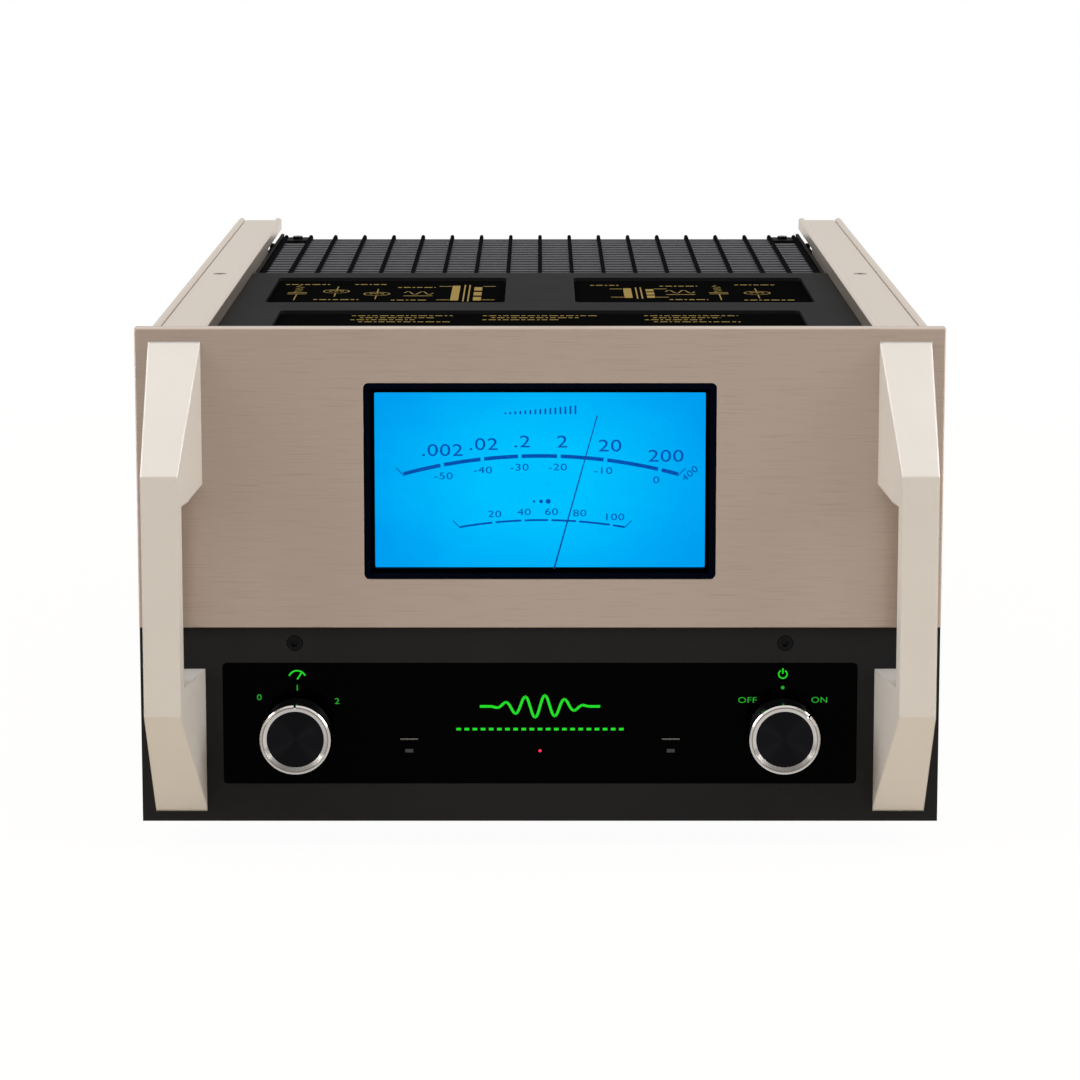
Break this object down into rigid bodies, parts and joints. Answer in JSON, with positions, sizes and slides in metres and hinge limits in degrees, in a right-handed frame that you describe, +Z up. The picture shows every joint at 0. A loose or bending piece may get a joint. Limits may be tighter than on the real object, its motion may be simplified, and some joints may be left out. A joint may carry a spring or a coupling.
{
  "type": "tube power amplifier",
  "caption": "Tube power amplifier with a needle meter behind glass, two rotary knobs, grab handles, printed glass top labels and a wire tube cage; knobs, needle and terminal caps turn",
  "frame": {"origin": "middle of the whole amplifier seen from above, on the surface the feet stand on", "axes": "+X is to the right seen from the front, the faceplate faces -Y, +Z is up"},
  "size_m": [0.4508, 0.622, 0.2985],
  "materials": {
    "champagne_aluminium": "brushed and anodised champagne",
    "black_aluminium": "satin black anodised",
    "satin_aluminium": "bead blasted and clear anodised",
    "satin_black_cover": "satin black powder coat",
    "black_glass": "polished, printed black behind",
    "clear_glass": "polished clear",
    "meter_blue": "translucent blue print, lit from behind",
    "clear_acrylic": "clear light guide",
    "white_plastic": "moulded white",
    "needle_black": "matt dark lacquer",
    "meter_steel": "plain steel",
    "knob_black": "turned and black anodised",
    "knob_silver": "turned and polished",
    "bright_steel": "plain zinc-plated steel",
    "black_steel": "black oxide",
    "chassis_paint": "fine black powder coat",
    "cage_black": "semi-gloss black",
    "lamp_lens": "lit lamp lens",
    "board_green": "circuit board",
    "switch_grey": "moulded dark grey",
    "tube_glass": "blown clear glass",
    "tube_base": "moulded dark brown phenolic",
    "tube_plate": "carbonised nickel sheet",
    "socket_white": "glazed white ceramic",
    "can_paint": "black potting can",
    "capacitor_sleeve": "shrink sleeve",
    "connector_black": "moulded black",
    "gold_plate": "gold-plated brass",
    "cap_red": "moulded red",
    "cap_black": "moulded black",
    "foot_rubber": "moulded black rubber"
  },
  "bodies": {
    "housing": {"balanced_input": "connector_black", "bulkhead": "chassis_paint", "cage_cross_wires": "cage_black", "cage_frame": "cage_black", "cage_rods": "cage_black", "cage_screws": "bright_steel", "chassis": "chassis_paint", "control_glass": "black_glass", "control_panel": "black_aluminium", "control_panel_screws": "black_steel", "display_board": "board_green", "driver_board": "board_green", "feet": "foot_rubber", "filter_capacitors": "capacitor_sleeve", "foot_screws": "bright_steel", "front_frame": "chassis_paint", "front_panel": "champagne_aluminium", "fuse_holder": "connector_black", "handle_bolts": "black_steel", "handle_left": "satin_aluminium", "handle_right": "satin_aluminium", "indicator_lamps": "lamp_lens", "label_glasses": "black_glass", "meter_bezel": "black_aluminium", "meter_dial": "meter_blue", "meter_lamp_housing": "white_plastic", "meter_light_guide": "clear_acrylic", "meter_movement": "meter_steel", "meter_switch": "switch_grey", "meter_window": "clear_glass", "output_transformer": "can_paint", "output_tube_bases": "tube_base", "output_tube_glasses": "tube_glass", "power_inlet": "connector_black", "power_switch": "switch_grey", "power_transformer": "can_paint", "rail_screws": "black_steel", "rear_panel": "chassis_paint", "side_rail_left": "satin_aluminium", "side_rail_right": "satin_aluminium", "signal_tubes": "tube_glass", "speaker_posts": "gold_plate", "top_cover": "satin_black_cover", "trigger_jacks": "bright_steel", "tube_anodes": "tube_plate", "tube_deck": "chassis_paint", "tube_sockets": "socket_white", "unbalanced_input": "gold_plate"},
    "needle": {"meter_needle": "needle_black"},
    "meter_knob": {"meter_knob_body": "knob_black", "meter_knob_ring": "knob_silver", "meter_knob_shaft": "bright_steel"},
    "power_knob": {"power_knob_body": "knob_black", "power_knob_ring": "knob_silver", "power_knob_shaft": "bright_steel"},
    "fuse_cap_body": {"fuse_cap": "connector_black"},
    "post_cap_1": {"speaker_post_cap_1": "cap_black"},
    "post_cap_2": {"speaker_post_cap_2": "cap_red"},
    "post_cap_3": {"speaker_post_cap_3": "cap_red"},
    "post_cap_4": {"speaker_post_cap_4": "cap_red"}
  },
  "joints": [
    {"name": "meter_needle_swing", "type": "hinge", "parent": "housing", "child": "needle", "pos_m": [0, -0.2523, 0.1326], "axis": [0, 1, 0], "range_deg": [-58, 28]},
    {"name": "meter_knob_turn", "type": "hinge", "parent": "housing", "child": "meter_knob", "pos_m": [-0.137, -0.27, 0.0685], "axis": [0, 1, 0], "range_deg": [-45, 45]},
    {"name": "power_knob_turn", "type": "hinge", "parent": "housing", "child": "power_knob", "pos_m": [0.137, -0.27, 0.0685], "axis": [0, 1, 0], "range_deg": [-90, 0]},
    {"name": "fuse_cap_turn", "type": "hinge", "parent": "housing", "child": "fuse_cap_body", "pos_m": [-0.112, 0.29, 0.0716], "axis": [0, 1, 0], "range_deg": [0, 90]},
    {"name": "speaker_post_cap_1_turn", "type": "hinge", "parent": "housing", "child": "post_cap_1", "pos_m": [0.076, 0.298, 0.0716], "axis": [0, 1, 0], "range_deg": [0, 720]},
    {"name": "speaker_post_cap_2_turn", "type": "hinge", "parent": "housing", "child": "post_cap_2", "pos_m": [0.108, 0.298, 0.0716], "axis": [0, 1, 0], "range_deg": [0, 720]},
    {"name": "speaker_post_cap_3_turn", "type": "hinge", "parent": "housing", "child": "post_cap_3", "pos_m": [0.14, 0.298, 0.0716], "axis": [0, 1, 0], "range_deg": [0, 720]},
    {"name": "speaker_post_cap_4_turn", "type": "hinge", "parent": "housing", "child": "post_cap_4", "pos_m": [0.172, 0.298, 0.0716], "axis": [0, 1, 0], "range_deg": [0, 720]}
  ]
}
